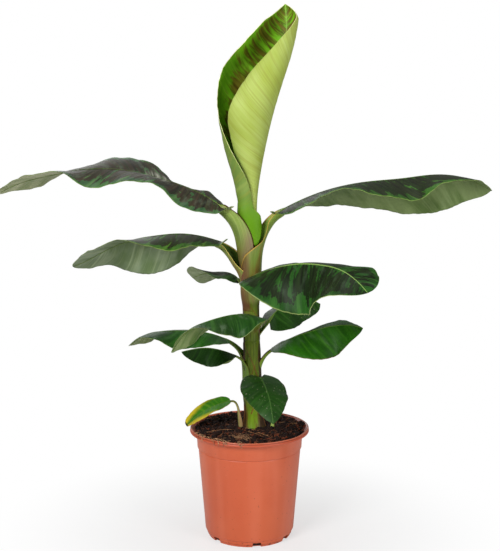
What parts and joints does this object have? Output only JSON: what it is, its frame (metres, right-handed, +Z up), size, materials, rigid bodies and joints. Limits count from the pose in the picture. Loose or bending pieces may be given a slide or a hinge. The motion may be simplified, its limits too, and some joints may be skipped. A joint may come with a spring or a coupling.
{
  "type": "potted banana plant",
  "caption": "Young banana plant with an upright leaf sheath stem, a rolled new leaf, spreading broad leaves, compost and a round nursery pot.",
  "frame": {"origin": "middle of the flat underside of the pot", "axes": "+Z up along the pot's axis, +X to the plant's right and -Y its front, towards the viewer"},
  "size_m": [0.8447, 0.3369, 0.9245],
  "materials": {
    "pot": "moulded terracotta-coloured plastic, slightly scuffed",
    "soil": "dark peat and coir compost with fibres",
    "stem": "smooth leaf sheaths, olive green with brown blotches and dry tan edges",
    "sucker": "young green shoot",
    "stalk_spear": "smooth channelled leaf stalk, light green",
    "stalk_top_right": "smooth channelled leaf stalk, light green",
    "stalk_top_left": "smooth channelled leaf stalk, light green",
    "stalk_second_left": "smooth channelled leaf stalk, light green",
    "stalk_second_right": "smooth channelled leaf stalk, light green",
    "stalk_third_left": "smooth channelled leaf stalk, light green",
    "stalk_third_right": "smooth channelled leaf stalk, light green",
    "stalk_fourth_left": "smooth channelled leaf stalk, light green",
    "stalk_fourth_right": "smooth channelled leaf stalk, light green",
    "stalk_fifth_left": "smooth channelled leaf stalk, light green",
    "stalk_sixth_left": "smooth channelled leaf stalk, light green",
    "stalk_front": "smooth channelled leaf stalk, light green",
    "stalk_lowest_left": "smooth channelled leaf stalk, light green",
    "blade_spear": "young rolled leaf, satin yellow-green outside with fine oblique veins, dark green and maroon inside",
    "blade_top_right": "satin leaf, maroon patches on green, grey-green underside",
    "blade_top_left": "satin leaf, maroon patches on blue-green, pale underside",
    "blade_second_left": "satin leaf, maroon patches, pale grey-green underside",
    "blade_second_right": "satin leaf, maroon patches on deep green, pale midrib",
    "blade_third_left": "satin leaf with a pale midrib and fine oblique veins",
    "blade_third_right": "satin leaf with a pale midrib and fine oblique veins",
    "blade_fourth_left": "satin leaf with a pale midrib and fine oblique veins",
    "blade_fourth_right": "satin leaf with a pale midrib and fine oblique veins",
    "blade_fifth_left": "satin leaf with a pale midrib and fine oblique veins",
    "blade_sixth_left": "satin leaf with a pale midrib and fine oblique veins",
    "blade_front": "satin leaf with a pale midrib and fine oblique veins",
    "blade_lowest_left": "ageing leaf, green going yellow and orange at the margins, brown tip"
  },
  "bodies": {
    "root": {"pot": "pot", "soil": "soil", "stem": "stem", "sucker": "sucker", "stalk_spear": "stalk_spear", "stalk_top_right": "stalk_top_right", "stalk_top_left": "stalk_top_left", "stalk_second_left": "stalk_second_left", "stalk_second_right": "stalk_second_right", "stalk_third_left": "stalk_third_left", "stalk_third_right": "stalk_third_right", "stalk_fourth_left": "stalk_fourth_left", "stalk_fourth_right": "stalk_fourth_right", "stalk_fifth_left": "stalk_fifth_left", "stalk_sixth_left": "stalk_sixth_left", "stalk_front": "stalk_front", "stalk_lowest_left": "stalk_lowest_left", "blade_spear": "blade_spear", "blade_top_right": "blade_top_right", "blade_top_left": "blade_top_left", "blade_second_left": "blade_second_left", "blade_second_right": "blade_second_right", "blade_third_left": "blade_third_left", "blade_third_right": "blade_third_right", "blade_fourth_left": "blade_fourth_left", "blade_fourth_right": "blade_fourth_right", "blade_fifth_left": "blade_fifth_left", "blade_sixth_left": "blade_sixth_left", "blade_front": "blade_front", "blade_lowest_left": "blade_lowest_left"}
  },
  "joints": []
}
